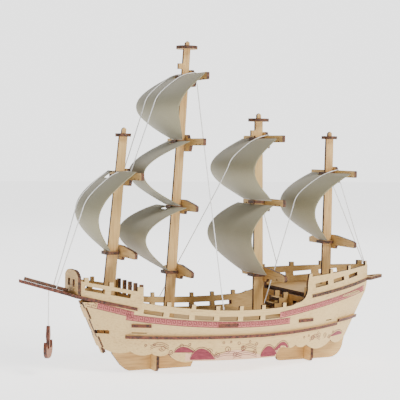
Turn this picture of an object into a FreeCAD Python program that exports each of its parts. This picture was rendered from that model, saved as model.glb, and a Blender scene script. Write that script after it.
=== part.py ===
"""Four-masted sailing ship kit, cut from 3 mm plywood and slotted together.

Frame: millimetres, +X towards the stern, -Y to port, +Z up. The bottoms of the keel feet are at
z = 0 and the middle of the ship's length is at x = 0. Every flat piece is a sketch and a pad as
thick as the plywood. The two hull sides are bent pieces: a ruled shell below and upright rails.
"""
import FreeCAD, Part
import math
import os
from types import SimpleNamespace

import Sketcher

Vector = FreeCAD.Vector
doc = FreeCAD.newDocument("sailing_ship_kit")

# ---------------------------------------------------------------- driving dimensions

SIZES = {
    "ply": 3.0,                  # thickness of every wooden piece
    "fit_gap": 0.1,              # play round each tab and mast in its slot
    "ship_half_length": 190.0,
    "half_beam": 57.0,           # outside of the hull at the rail
    "bilge_half_beam": 48.0,     # the same at ground level, where the hull is narrower
    "shell_top": 66.0,           # height where the leaning shell ends and the rails stand upright
    "deck_level": 45.6,          # middle of the main deck's thickness
    "end_half_width": 6.4,       # outside of the hull at the stem
    "foot_half_width": 15.0,
    "foot_height": 19.0,
    "window_length": 18.0,
    "window_height": 4.0,
    "window_pitch": 22.9,
    "post_width": 3.6,
    "post_height": 4.0,
    "wale_depth": 2.2,
    "yard_height": 6.6,
    "clamp_reach": 3.4,
    "clamp_width": 12.0,
    "string_diameter": 0.9,
    "sail_thickness": 0.8,
}

sheet = doc.addObject("Spreadsheet::Sheet", "Dims")
for row, (alias, value) in enumerate(SIZES.items(), start=1):
    sheet.set(f"A{row}", str(value))
    sheet.setAlias(f"A{row}", alias)
doc.recompute()


class Size:
    """A length that keeps the spreadsheet formula that it was worked out with."""

    def __init__(self, value, formula):
        self.value = float(value)
        self.formula = formula

    def __add__(self, other):
        return combine(self, other, "+", self.value + number(other))

    def __radd__(self, other):
        return combine(other, self, "+", number(other) + self.value)

    def __sub__(self, other):
        return combine(self, other, "-", self.value - number(other))

    def __rsub__(self, other):
        return combine(other, self, "-", number(other) - self.value)

    def __mul__(self, other):
        return combine(self, other, "*", self.value * number(other))

    __rmul__ = __mul__

    def __truediv__(self, other):
        return combine(self, other, "/", self.value / number(other))

    def __neg__(self):
        return combine(0.0, self, "-", -self.value)


def number(length):
    return length.value if isinstance(length, Size) else float(length)


def formula(length):
    return length.formula if isinstance(length, Size) else f"({float(length)})"


def combine(left, right, sign, value):
    return Size(value, f"({formula(left)} {sign} {formula(right)})")


dim = SimpleNamespace(**{alias: Size(value, f"Dims.{alias}") for alias, value in SIZES.items()})
PLY = dim.ply.value
GAP = dim.fit_gap.value

# ---------------------------------------------------------------- builders

sub_parts = []


def finish(piece, name):
    """Name a finished sub-part and remember it for the export."""
    piece.Label = name
    sub_parts.append(piece)
    return piece


def flat_vector(point):
    return Vector(number(point[0]), number(point[1]), 0)


def draw_loop(sketch, loop):
    """Add a closed outline. A point with a third entry starts an arc through that entry."""
    first = sketch.GeometryCount
    edges = []
    ends = []
    centres = []
    for index, point in enumerate(loop):
        start = flat_vector(point)
        end = flat_vector(loop[(index + 1) % len(loop)])
        if len(point) == 2:
            edges.append(Part.LineSegment(start, end))
            ends.append((1, 2))
            continue
        via = flat_vector(point[2])
        arc = Part.ArcOfCircle(start, via, end)
        edges.append(arc)
        turns_left = (via - start).cross(end - via).z > 0
        ends.append((1, 2) if turns_left else (2, 1))
        wide = abs(end.x - start.x) > abs(end.y - start.y)
        centre = ("DistanceY", arc.Center.y) if wide else ("DistanceX", arc.Center.x)
        centres.append((first + index, centre))
    sketch.addGeometry(edges)

    rules = []
    bound = {}
    for index, point in enumerate(loop):
        following = (index + 1) % len(loop)
        rules.append(Sketcher.Constraint("Coincident", first + index, ends[index][1],
                                         first + following, ends[following][0]))
        for kind, length in (("DistanceX", point[0]), ("DistanceY", point[1])):
            if isinstance(length, Size):
                bound[len(rules)] = length.formula
            rules.append(Sketcher.Constraint(kind, -1, 1, first + index, ends[index][0],
                                             number(length)))
    for edge, (kind, value) in centres:
        rules.append(Sketcher.Constraint(kind, -1, 1, edge, 3, value))
    offset = sketch.ConstraintCount
    sketch.addConstraint(rules)
    for position, text in bound.items():
        sketch.setExpression(f"Constraints[{offset + position}]", text)


def place(piece, at, turn=0.0, axis=Vector(0, 1, 0)):
    """Put a piece at a point whose coordinates may be spreadsheet lengths, turned about an axis."""
    piece.Placement = FreeCAD.Placement(Vector(*[number(length) for length in at]),
                                        FreeCAD.Rotation(axis, turn))
    for letter, length in zip("xyz", at):
        if isinstance(length, Size):
            piece.setExpression(f"Placement.Base.{letter}", length.formula)


def plate(name, plane, outline, holes=(), thickness=dim.ply, at=(0, 0, 0), turn=0.0,
          axis=Vector(0, 1, 0), one_sided=False):
    """Pad an outline on one of the origin planes, to both sides of the plane by halves."""
    body = doc.addObject("PartDesign::Body", name)
    sketch = body.newObject("Sketcher::SketchObject", f"{name}_outline")
    support = [item for item in body.Origin.OriginFeatures if item.Role == plane][0]
    sketch.AttachmentSupport = [(support, "")]
    sketch.MapMode = "FlatFace"
    draw_loop(sketch, outline)
    for hole in holes:
        draw_loop(sketch, hole)
    pad = body.newObject("PartDesign::Pad", f"{name}_pad")
    pad.Profile = sketch
    pad.SideType = "One side" if one_sided else "Symmetric"
    pad.setExpression("Length", formula(thickness))
    body.Tip = pad
    place(body, at, turn, axis)
    return body


def block(name, length, width, height, at, turn=0.0, pitch=0.0):
    """A box centred on a point, pitched about its own Y axis and then turned about Z."""
    box = doc.addObject("Part::Box", name)
    for prop, size in (("Length", length), ("Width", width), ("Height", height)):
        if isinstance(size, Size):
            box.setExpression(prop, size.formula)
        setattr(box, prop, number(size))
    rotation = FreeCAD.Rotation(Vector(0, 0, 1), turn) * FreeCAD.Rotation(Vector(0, 1, 0), pitch)
    half = Vector(number(length) / 2, number(width) / 2, number(height) / 2)
    centre = Vector(*[number(coordinate) for coordinate in at])
    box.Placement = FreeCAD.Placement(centre - rotation.multVec(half), rotation)
    return box


def fuse(name, pieces):
    joined = doc.addObject("Part::MultiFuse", name)
    joined.Shapes = pieces
    joined.Refine = True
    return joined


def cut(name, base, tools):
    """Take every tool out of the base."""
    tool = tools[0] if len(tools) == 1 else fuse(f"{name}_tools", tools)
    result = doc.addObject("Part::Cut", name)
    result.Base = base
    result.Tool = tool
    return result


def overlap(name, base, tool):
    common = doc.addObject("Part::Common", name)
    common.Base = base
    common.Tool = tool
    return common


def mirrored(name, source):
    """The same piece on the other side of the ship."""
    mirror = doc.addObject("Part::Mirroring", name)
    mirror.Source = source
    mirror.Normal = Vector(0, 1, 0)
    return finish(mirror, name)


def feature(name, shape):
    piece = doc.addObject("Part::Feature", name)
    piece.Shape = shape
    return finish(piece, name)


# ---------------------------------------------------------------- hull lines


class PlanArc:
    """The port side of the hull at one height, seen from above: a circular arc."""

    def __init__(self, bow, middle, stern):
        self.bow, self.middle, self.stern = bow, middle, stern
        circle = Part.ArcOfCircle(Vector(*bow, 0), Vector(*middle, 0), Vector(*stern, 0))
        self.x0, self.y0, self.radius = circle.Center.x, circle.Center.y, circle.Radius

    def y(self, x, inset=0.0):
        """Distance from the centre line to port (negative), inset towards the inside."""
        radius = self.radius - inset
        return self.y0 - math.sqrt(radius ** 2 - (x - self.x0) ** 2)

    def heading(self, x):
        """Angle in degrees between the side and the ship's length."""
        return math.degrees(math.asin((x - self.x0) / self.radius))

    def ahead(self, x, distance):
        """The x reached by following the side aft for a distance."""
        angle = math.asin((x - self.x0) / self.radius) + distance / self.radius
        return self.x0 + self.radius * math.sin(angle)

    def edge(self, x_from, x_to, inset=0.0):
        """One outline arc from x_from to x_to, and its end point."""
        x_via = (x_from + x_to) / 2
        start = (x_from, self.y(x_from, inset), (x_via, self.y(x_via, inset)))
        return start, (x_to, self.y(x_to, inset))

    def band(self, x_from, x_to, inner=PLY, outer=0.0):
        """Outline of a strip that follows the side, as thick as a piece of plywood."""
        start, end = self.edge(x_from, x_to, -outer)
        back_start, back_end = self.edge(x_to, x_from, inner)
        return [start, end, back_start, back_end]

    def between(self, other, share):
        """The arc part of the way to another height's arc."""
        def mix(one, two):
            return tuple(a + (b - a) * share for a, b in zip(one, two))
        return PlanArc(mix(self.bow, other.bow), mix(self.middle, other.middle),
                       mix(self.stern, other.stern))


END_Y = -dim.end_half_width.value
GROUND_ARC = PlanArc((-103, END_Y), (18, -dim.bilge_half_beam.value), (132, END_Y))
RAIL_ARC = PlanArc((-132.8, END_Y), (16, -dim.half_beam.value), (166, -8))
BREAK_X = -88                    # where the forecastle ends
BOW_X = -138.1                   # front of the forecastle rails
STERN_X = 170                    # end of the poop rails
POOP_X = 81                      # where the poop deck starts
BREAK_Y = RAIL_ARC.y(BREAK_X)
BOW_RAIL_ARC = PlanArc((BOW_X, -17.5), ((BOW_X + BREAK_X) / 2, (BREAK_Y - 17.5) / 2 - 0.8),
                       (BREAK_X, BREAK_Y))


def side_at(z):
    """The hull side's arc at a height."""
    share = min(z / dim.shell_top.value, 1.0)
    return GROUND_ARC.between(RAIL_ARC, share)


def stem_x(z):
    return -103 - 0.452 * z


def stern_x(z):
    return 132 + 0.508 * z


def forecastle_z(x):
    """Middle of the forecastle deck's thickness. The bowsprit rises more steeply."""
    if x < -142:
        return 72.3 + 0.296 * (-142 - x)
    return 60.6 + 0.217 * (BREAK_X - x)


def poop_z(x):
    return 68.4 + 0.107 * (x - POOP_X)


def bow_rail_z(x):
    return 76.8 + 0.185 * (BREAK_X - x)


def waist_rail_z(x):
    return 59 + 0.00086 * (x - 10) ** 2


def poop_rail_z(x):
    return 87 + 0.056 * (x - POOP_X)


def rail_top(x_from, x_to, rail_z, posts):
    """Top outline of a rail from x_from to x_to with a square post at each place in posts."""
    step = 1 if x_to > x_from else -1
    half = number(dim.post_width) / 2
    top = number(dim.post_height)
    points = [(x_from, rail_z(x_from))]
    for x in sorted(posts, reverse=step < 0):
        near, far = x - step * half, x + step * half
        points.append((near, rail_z(near)))
        points.append((near, rail_z(x) + top))
        points.append((far, rail_z(x) + top))
        points.append((far, rail_z(far)))
    points.append((x_to, rail_z(x_to)))
    return points


def scallops(points):
    """A wave-cut edge: an arc that hangs down from each point to the next."""
    edge = []
    for (x1, z1), (x2, z2) in zip(points, points[1:]):
        length = math.hypot(x2 - x1, z2 - z1)
        sag = 0.17 * length
        middle = ((x1 + x2) / 2 + sag * (z2 - z1) / length, (z1 + z2) / 2 - sag * (x2 - x1) / length)
        edge.append((x1, z1, middle))
    return edge


# ---------------------------------------------------------------- hull sides

BOTTOM_Z = 13.0
BOW_WAVES = [(stem_x(25), 25), (-91.5, 21.5), (-74.5, 20), (-60.5, 20), (-39, BOTTOM_Z)]
STERN_WAVES = [(51.5, 22.5), (66, 22.5), (80, 21.5), (116, 21.8), (stern_x(22), 22)]
WAIST_POSTS = [RAIL_ARC.ahead(-63.7, step * 22.7) for step in range(6)]
BOW_POSTS = [-133.5, -112.5]
POOP_POSTS = [107, 134.5, 166.5]
LIP = PLY / 2 + GAP              # half of the slit that a deck slides into


def shell_outline():
    """Side view of a hull side below the forecastle rail, from the stem's foot and round."""
    after_rail = rail_top(STERN_X, POOP_X - 3, poop_rail_z, POOP_POSTS)
    waist_rail = rail_top(52, BREAK_X + 3, waist_rail_z, WAIST_POSTS)
    hull_end_z = poop_z(STERN_X)
    return (scallops(BOW_WAVES) + [BOW_WAVES[-1], (43.5, BOTTOM_Z, (45.5, 19))]
            + scallops(STERN_WAVES) + [STERN_WAVES[-1]]
            + [(stern_x(70), 70), (stern_x(70) + 2, hull_end_z - LIP - 0.4)]
            + [(POOP_X, poop_z(POOP_X) - LIP), (POOP_X, poop_z(POOP_X) + LIP)]
            + [(STERN_X, hull_end_z + LIP)]
            + after_rail[:-1]
            + [(POOP_X - 0.5, poop_rail_z(POOP_X)), (POOP_X - 0.5, poop_rail_z(POOP_X) + 3)]
            + [(POOP_X - 4, poop_rail_z(POOP_X) + 2.5)]
            + [(POOP_X - 6, 79, (72.5, 68)), (62, 63.2, (57.5, 61.2))]
            + waist_rail
            + [(BREAK_X + 3, 81), (BREAK_X - 2, 81)]
            + [(BREAK_X - 2, forecastle_z(BREAK_X - 2) + LIP)]
            + [(BREAK_X - 2, forecastle_z(BREAK_X - 2) - LIP)]
            + [(stem_x(68), forecastle_z(stem_x(68)) - LIP)])


def bow_rail_outline():
    """Side view of the part of a hull side that stands above the forecastle deck."""
    top = rail_top(BREAK_X + 1, BOW_X, bow_rail_z, BOW_POSTS)
    return [(BOW_X, forecastle_z(BOW_X) + LIP), (BREAK_X + 1, forecastle_z(BREAK_X + 1) + LIP)] + top


def window(name, arc, x, z, pitch=0.0, length=dim.window_length, height=dim.window_height):
    """A cutter through the hull side at x and z, square to the side."""
    return block(name, length, 14, height, (x, arc.y(x) + PLY / 2, z), arc.heading(x), pitch)


def side_cutters():
    """Everything that is cut through a hull side: windows, gun slots and slots for tabs."""
    cutters = []
    for index in range(2):
        x = BOW_RAIL_ARC.ahead(-126, index * dim.window_pitch.value)
        cutters.append(window(f"bow_window_{index}", BOW_RAIL_ARC, x, bow_rail_z(x) - 5.3, 10.5))
    for index in range(6):
        x = RAIL_ARC.ahead(-75.4, index * dim.window_pitch.value)
        slope = -math.degrees(math.atan(2 * 0.00086 * (x - 10)))
        cutters.append(window(f"waist_window_{index}", side_at(55), x, waist_rail_z(x) - 7.6, slope))
    for index in range(3):
        x = RAIL_ARC.ahead(93, index * 26)
        cutters.append(window(f"poop_window_{index}", RAIL_ARC, x, poop_z(x) + 9.3, -6.1))
    cutters.append(window("bow_port", side_at(39), stem_x(39) + 6, 39, length=14, height=3.4))
    cutters.append(window("bow_vent", side_at(39), -85.5, 39, length=14, height=1.0))
    cutters.append(window("stern_vent", side_at(42), 107.5, 42.8, length=9, height=1.0))
    return cutters


MAIN_TABS = [-84, -8.5, 75]
TAB_LENGTH = 18.0
TAB_OUT = 1.2                    # how far a tab shows outside the hull


def deck_tabs(name, clearance):
    """The main deck's tabs on the port side, or the slots for them with a clearance."""
    arc = side_at(dim.deck_level.value)
    size = 2 * clearance
    tabs = []
    for index, x in enumerate(MAIN_TABS):
        depth = PLY + 3 + TAB_OUT + size
        centre = (x, arc.y(x) - TAB_OUT + depth / 2, dim.deck_level)
        tabs.append(block(f"{name}_{index}", TAB_LENGTH + size, depth, dim.ply + size, centre,
                          arc.heading(x)))
    return tabs


STEM_ANGLE = math.degrees(math.atan(0.452))
STERN_ANGLE = math.degrees(math.atan(0.508))
STEM_TAB_Z = [56.0, 29.5]
STEM_IN = 1.5                    # middle of the bow transom behind the edges of the hull sides
STERN_IN = 4.0


def stem_tabs(name, clearance):
    """The bow transom's tabs, or the notches for them in the front edges of the hull sides."""
    size = 2 * clearance
    tabs = []
    for index, z in enumerate(STEM_TAB_Z):
        reach = 2 * (dim.end_half_width.value + TAB_OUT)
        tabs.append(block(f"{name}_{index}", dim.ply + size, reach + size, 11 + size,
                          (stem_x(z) + STEM_IN, 0, z), 0.0, -STEM_ANGLE))
    return tabs


def section(name, arc, x_from, x_to, z, inner=PLY, outer=0.0):
    """A sketch of a strip along the hull's side at one height."""
    sketch = doc.addObject("Sketcher::SketchObject", name)
    draw_loop(sketch, arc.band(x_from, x_to, inner, outer))
    place(sketch, (0, 0, z))
    return sketch


def ruled_shell(name, low, high):
    """The solid between two sections, with straight lines from one to the other."""
    shell = doc.addObject("Part::Loft", name)
    shell.Sections = [low, high]
    shell.Solid = True
    shell.Ruled = True
    return shell


def make_hull_sides():
    ground = section("shell_foot", GROUND_ARC, GROUND_ARC.bow[0], GROUND_ARC.stern[0], 0)
    rail = section("shell_head", RAIL_ARC, RAIL_ARC.bow[0], RAIL_ARC.stern[0], dim.shell_top)
    shell = ruled_shell("shell", ground, rail)
    upper = plate("upper_shell", "XY_Plane", RAIL_ARC.band(BREAK_X - 2, STERN_X), thickness=34,
                  at=(0, 0, dim.shell_top), one_sided=True)
    blank = fuse("side_blank", [shell, upper])
    side_view = plate("side_view", "XZ_Plane", shell_outline(), thickness=130)
    below = overlap("side_below_rail", blank, side_view)
    rail_band = plate("bow_rail_band", "XY_Plane", BOW_RAIL_ARC.band(BOW_X, BREAK_X + 1),
                      thickness=50, at=(0, 0, 50), one_sided=True)
    rail_view = plate("bow_rail_view", "XZ_Plane", bow_rail_outline(), thickness=130)
    bow_rail = overlap("bow_rail", rail_band, rail_view)
    whole = fuse("side_whole", [below, bow_rail])
    cutters = side_cutters() + deck_tabs("deck_slot", GAP) + stem_tabs("stem_slot", GAP)
    port = finish(cut("hull_side_port", whole, cutters), "hull_side_port")
    mirrored("hull_side_starboard", port)


# ---------------------------------------------------------------- masts, yards and sails

FOOT_Z = dim.deck_level + dim.ply / 2


class Mast:
    """Where one mast stands, how it leans, and how wide it is at its foot and head."""

    def __init__(self, name, foot_x, lean, pin_z, top_z, foot_width, head_width, top_diameter,
                 tooth_z=None):
        self.name, self.foot_x, self.lean = name, foot_x, lean
        self.pin_z, self.top_z = pin_z, top_z
        self.foot_width, self.head_width = foot_width, head_width
        self.top_diameter, self.tooth_z = top_diameter, tooth_z

    def x(self, z):
        return self.foot_x + self.lean * (z - FOOT_Z.value)

    def half_width(self, z):
        share = (z - FOOT_Z.value) / (self.pin_z - FOOT_Z.value)
        return (self.foot_width + (self.head_width - self.foot_width) * share) / 2


FOREMAST = Mast("foremast", -107.7, 0.0856, 224, 217, 11.6, 7.6, 14.5)
MAINMAST = Mast("mainmast", -45.9, 0.0600, 305.5, 299.5, 10.4, 6.2, 20.0, tooth_z=282)
MIZZENMAST = Mast("mizzenmast", 48.6, -0.014, 240.5, 234, 10.4, 7.6, 20.0, tooth_z=221.5)
AFTERMAST = Mast("aftermast", 123.9, 0.0085, 224.5, 218.6, 10.4, 7.6, 15.5)
MASTS = [FOREMAST, MAINMAST, MIZZENMAST, AFTERMAST]
PIN_WIDTH = 4.0
TOOTH = 5.2


def mast_outline(mast):
    """Side view of a mast: tenon, tapered plank, a tooth towards the bow, thin pin at the head."""
    shoulder_z = mast.top_z - PLY / 2
    pin = PIN_WIDTH / 2
    tooth = []
    if mast.tooth_z:
        low, high = mast.tooth_z - TOOTH / 2, mast.tooth_z + TOOTH / 2
        front = mast.x(mast.tooth_z) - mast.half_width(mast.tooth_z) - TOOTH + 0.8
        tooth = [(mast.x(high) - mast.half_width(high), high), (front, high), (front, low),
                 (mast.x(low) - mast.half_width(low), low)]
    return ([(mast.foot_x - 3, FOOT_Z - dim.ply), (mast.foot_x + 3, FOOT_Z - dim.ply)]
            + [(mast.foot_x + 3, FOOT_Z), (mast.foot_x + mast.foot_width / 2, FOOT_Z)]
            + [(mast.x(shoulder_z) + mast.half_width(shoulder_z), shoulder_z)]
            + [(mast.x(shoulder_z) + pin, shoulder_z), (mast.x(mast.pin_z) + pin, mast.pin_z - 1.5)]
            + [(mast.x(mast.pin_z), mast.pin_z), (mast.x(mast.pin_z) - pin, mast.pin_z - 1.5)]
            + [(mast.x(shoulder_z) - pin, shoulder_z)]
            + [(mast.x(shoulder_z) - mast.half_width(shoulder_z), shoulder_z)]
            + tooth
            + [(mast.foot_x - mast.foot_width / 2, FOOT_Z), (mast.foot_x - 3, FOOT_Z)])


def disc_outline(radius):
    return [(radius, 0, (0, radius)), (-radius, 0, (0, -radius))]


def make_masts():
    for mast in MASTS:
        body = plate(mast.name, "XZ_Plane", mast_outline(mast))
        finish(body, mast.name)
        hole = [(-PIN_WIDTH / 2 - 0.3, -PLY / 2 - GAP), (PIN_WIDTH / 2 + 0.3, -PLY / 2 - GAP),
                (PIN_WIDTH / 2 + 0.3, PLY / 2 + GAP), (-PIN_WIDTH / 2 - 0.3, PLY / 2 + GAP)]
        top = plate(f"{mast.name}_top", "XY_Plane", disc_outline(mast.top_diameter / 2), [hole],
                    at=(mast.x(mast.top_z), 0, mast.top_z))
        finish(top, f"{mast.name}_top")


class Yard:
    """A plank across the ship at the back of a mast."""

    def __init__(self, name, mast, z, half_length, drooping=False):
        self.name, self.mast, self.z = name, mast, z
        self.half_length, self.drooping = half_length, drooping
        self.x = mast.x(z) + mast.half_width(z - 9) + PLY / 2 + GAP + 9 * abs(mast.lean)


YARDS = [
    Yard("fore_upper_yard", FOREMAST, 179.7, 40),
    Yard("fore_lower_yard", FOREMAST, 109.6, 40, drooping=True),
    Yard("main_top_yard", MAINMAST, 271.9, 39),
    Yard("main_upper_yard", MAINMAST, 211.7, 41),
    Yard("main_middle_yard", MAINMAST, 151.0, 34, drooping=True),
    Yard("main_lower_yard", MAINMAST, 90.5, 33, drooping=True),
    Yard("mizzen_upper_yard", MIZZENMAST, 216.0, 40),
    Yard("mizzen_middle_yard", MIZZENMAST, 155.5, 41),
    Yard("mizzen_lower_yard", MIZZENMAST, 85.0, 44, drooping=True),
    Yard("after_upper_yard", AFTERMAST, 183.2, 41),
    Yard("after_lower_yard", AFTERMAST, 115.5, 43, drooping=True),
]
YARD = {yard.name: yard for yard in YARDS}


def yard_outline(yard):
    """Front view of a yard: two arms, a boss at the mast and two string notches in each arm."""
    half = dim.yard_height / 2
    reach = yard.half_length
    if yard.drooping:
        right = [(0, -6.5), (7.5, -6.5), (9, -half), (reach - 16, -half), (reach - 16, 1.6 - half),
                 (reach - 14, 1.6 - half), (reach - 14, -half), (reach - 1.2, -half),
                 (reach, 1.2 - half), (reach, half - 1.5), (reach - 5, half), (8, half + 3.6),
                 (0, half + 4.4)]
    else:
        right = [(0, -9), (9.5, -9), (12, -half), (reach - 16, -half), (reach - 16, 1.6 - half),
                 (reach - 14, 1.6 - half), (reach - 14, -half), (reach - 8, -half),
                 (reach - 8, 1.6 - half), (reach - 6, 1.6 - half), (reach - 6, -half),
                 (reach - 0.8, -half), (reach, 0.8 - half), (reach, half - 0.8),
                 (reach - 0.8, half), (7.5, half), (5, half + 3.4), (0, half + 3.4)]
    left = [(-y, z) for y, z in reversed(right[1:-1])]
    return right[1:-1] + left


def clamp(yard, name):
    """A collar that goes round the front of a mast and through the sail, at a yard's height."""
    mast = yard.mast
    front = mast.x(yard.z) - mast.half_width(yard.z) - dim.clamp_reach
    back = mast.x(yard.z) + mast.half_width(yard.z) - 0.5
    return block(name, back - front, dim.clamp_width, dim.ply,
                 ((front + back) / 2, 0, yard.z))


def make_yards():
    collars = []
    for yard in YARDS:
        body = plate(yard.name, "YZ_Plane", yard_outline(yard), at=(yard.x, 0, yard.z))
        finish(body, yard.name)
        mast = yard.mast
        room = block(f"{yard.name}_mast_slot", 2 * mast.half_width(yard.z) + 0.8, PLY + 2 * GAP,
                     10, (mast.x(yard.z) + 0.2, 0, yard.z))
        collars.append(cut(f"{yard.name}_collar", clamp(yard, f"{yard.name}_clamp"), [room]))
    finish(fuse("yard_clamps", collars), "yard_clamps")


class Sail:
    """A thin sheet that bellies towards the bow between two yards."""

    def __init__(self, name, upper, lower, head_z, widths, belly, sweep, twist=0.0, peak=1.0):
        self.name, self.upper, self.lower = name, YARD[upper], YARD[lower]
        self.widths, self.belly, self.sweep = widths, belly, sweep
        self.twist, self.peak = twist, peak
        self.head_z = head_z
        self.foot_z = self.lower.z + PLY / 2 + 0.5

    def width(self, share):
        head, middle, foot = self.widths
        straight = head + (foot - head) * share
        return straight + (middle - (head + foot) / 2) * 4 * share * (1 - share)

    def point(self, across, share, behind=0.0):
        """A point of the sheet: across runs from -1 (port) to 1, share from 0 (head) to 1 (foot)."""
        z = self.head_z + (self.foot_z - self.head_z) * share
        mast = self.upper.mast
        x = mast.x(z) - mast.half_width(z) - 1.4
        x -= self.belly * math.sin(math.pi * share ** self.peak)
        x += self.sweep * across ** 2 * min(1.0, self.width(share) / self.widths[0])
        x += self.twist * across * 4 * share * (1 - share)
        return Vector(x + behind, across * self.width(share) / 2, z)


SAILS = [
    Sail("fore_sail", "fore_upper_yard", "fore_lower_yard", 184, (70, 66, 14), 29, 7.4),
    Sail("main_top_sail", "main_top_yard", "main_upper_yard", 274, (78, 102, 22), 28, 6.6),
    Sail("main_upper_sail", "main_upper_yard", "main_middle_yard", 212.2, (52, 66, 36), 40, 3.0,
         twist=5.8),
    Sail("main_lower_sail", "main_middle_yard", "main_lower_yard", 151.6, (70, 66, 12), 37, 0.5,
         peak=0.85),
    Sail("mizzen_upper_sail", "mizzen_upper_yard", "mizzen_middle_yard", 216, (71, 94, 58), 29, 5.6),
    Sail("mizzen_lower_sail", "mizzen_middle_yard", "mizzen_lower_yard", 153.2, (73, 94, 52), 28,
         2.2, peak=0.88),
    Sail("after_sail", "after_upper_yard", "after_lower_yard", 183.6, (74, 70, 16), 36, 7.8,
         peak=0.95),
]
SAIL = {sail.name: sail for sail in SAILS}
SAIL_SECTIONS = 9


def sail_section(sail, share):
    """Outline of the sheet's thickness at one height: front arc, end, back arc, end."""
    back = dim.sail_thickness.value
    front_arc = Part.ArcOfCircle(sail.point(-1, share), sail.point(0, share), sail.point(1, share))
    back_arc = Part.ArcOfCircle(sail.point(1, share, back), sail.point(0, share, back),
                                sail.point(-1, share, back))
    right = Part.LineSegment(sail.point(1, share), sail.point(1, share, back))
    left = Part.LineSegment(sail.point(-1, share, back), sail.point(-1, share))
    return Part.Wire([edge.toShape() for edge in (front_arc, right, back_arc, left)])


def make_sails():
    for sail in SAILS:
        shares = [index / (SAIL_SECTIONS - 1) for index in range(SAIL_SECTIONS)]
        shape = Part.makeLoft([sail_section(sail, share) for share in shares], True, False)
        collar = sail.upper
        low, high = collar.z - PLY / 2 - 0.4, collar.z + PLY / 2 + 0.4
        if high > sail.head_z - 3:
            high = sail.head_z + 1
        if low < sail.head_z:
            width = dim.clamp_width.value + 0.8
            slot = Part.makeBox(30, width, high - low, Vector(collar.mast.x(low) - 26, -width / 2, low))
            shape = shape.cut(slot)
        feature(sail.name, shape)


# ---------------------------------------------------------------- decks, keel and bulkheads


def mast_slot(mast, z, thickness=10):
    """A cutter that leaves room for a mast where it goes through a deck."""
    return block(f"{mast.name}_slot_{int(z)}", 2 * mast.half_width(z) + 1.4, PLY + 2 * GAP,
                 thickness, (mast.x(z), 0, z))


def lens(arc, x_from, x_to, inset):
    """Outline of a deck between the hull sides, inset from their outside."""
    start, end = arc.edge(x_from, x_to, inset)
    mirror_start = (end[0], -end[1], (start[2][0], -start[2][1]))
    return [start, end, mirror_start, (start[0], -start[1])]


def make_main_deck():
    z = dim.deck_level
    arc = side_at(z.value)
    inside = PLY + 0.6
    deck = plate("main_deck_lens", "XY_Plane", lens(arc, stem_x(z.value) + 7, 140, inside),
                 at=(0, 0, z))
    port_tabs = deck_tabs("deck_tab", 0.0)
    starboard_tabs = []
    for index, tab in enumerate(port_tabs):
        mirror = doc.addObject("Part::Mirroring", f"deck_tab_far_{index}")
        mirror.Source = tab
        mirror.Normal = Vector(0, 1, 0)
        starboard_tabs.append(mirror)
    with_tabs = fuse("main_deck_with_tabs", [deck] + port_tabs + starboard_tabs)
    tenons = [block(f"{mast.name}_mortise", 6 + 2 * GAP, PLY + 2 * GAP, 10, (mast.foot_x, 0, z))
              for mast in MASTS]
    finish(cut("main_deck", with_tabs, tenons), "main_deck")


def make_forecastle_deck():
    """One plate, slightly bent, whose narrow front end is the bowsprit."""
    half = PLY / 2
    tip, bend, aft = -dim.ship_half_length.value, -142, BREAK_X + 1.5
    strip = [(tip, forecastle_z(tip) - half), (bend, forecastle_z(bend) - half),
             (aft, forecastle_z(aft) - half), (aft, forecastle_z(aft) + half),
             (bend, forecastle_z(bend) + half), (tip, forecastle_z(tip) + half)]
    side_view = plate("forecastle_side_view", "XZ_Plane", strip, thickness=130)
    slit_end = BREAK_X - 2.2
    arc = BOW_RAIL_ARC
    outer = 0.6
    edge, edge_end = arc.edge(-129, slit_end, -outer)
    port = [(tip + 1, -2), (-147, -6.5), (-143, -18), edge, edge_end,
            (slit_end, -23), (aft, -23)]
    starboard_edge = (slit_end, -edge_end[1], (edge[2][0], -edge[2][1]))
    starboard = [(aft, 23), (slit_end, 23), starboard_edge, (edge[0], -edge[1]), (-143, 18),
                 (-147, 6.5), (tip + 1, 2, (tip, 0))]
    plan = plate("forecastle_plan", "XY_Plane", port + starboard, thickness=60, at=(0, 0, 50),
                 one_sided=True)
    blank = overlap("forecastle_blank", side_view, plan)
    finish(cut("forecastle_deck", blank, [mast_slot(FOREMAST, 66)]), "forecastle_deck")


def make_poop_deck():
    """A sloping plate that ends in a rounded lip behind the rails."""
    half = PLY / 2
    tip, fore = dim.ship_half_length.value, POOP_X + 0.2
    strip = [(fore, poop_z(fore) - half), (tip, poop_z(tip) - half), (tip, poop_z(tip) + half),
             (fore, poop_z(fore) + half)]
    side_view = plate("poop_side_view", "XZ_Plane", strip, thickness=130)
    edge, edge_end = RAIL_ARC.edge(fore, STERN_X - 1, -0.6)
    mirror_edge = (edge_end[0], -edge_end[1], (edge[2][0], -edge[2][1]))
    lip = [(STERN_X + 2, -9), (tip - 4, -4, (tip, 0)), (tip - 4, 4), (STERN_X + 2, 9)]
    triangle = [(STERN_X + 5, -4), (STERN_X + 13, 0), (STERN_X + 5, 4)]
    plan = plate("poop_plan", "XY_Plane", [edge, edge_end] + lip + [mirror_edge, (fore, -edge[1])],
                 [triangle], thickness=60, at=(0, 0, 50), one_sided=True)
    blank = overlap("poop_blank", side_view, plan)
    finish(cut("poop_deck", blank, [mast_slot(AFTERMAST, 73)]), "poop_deck")


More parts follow.
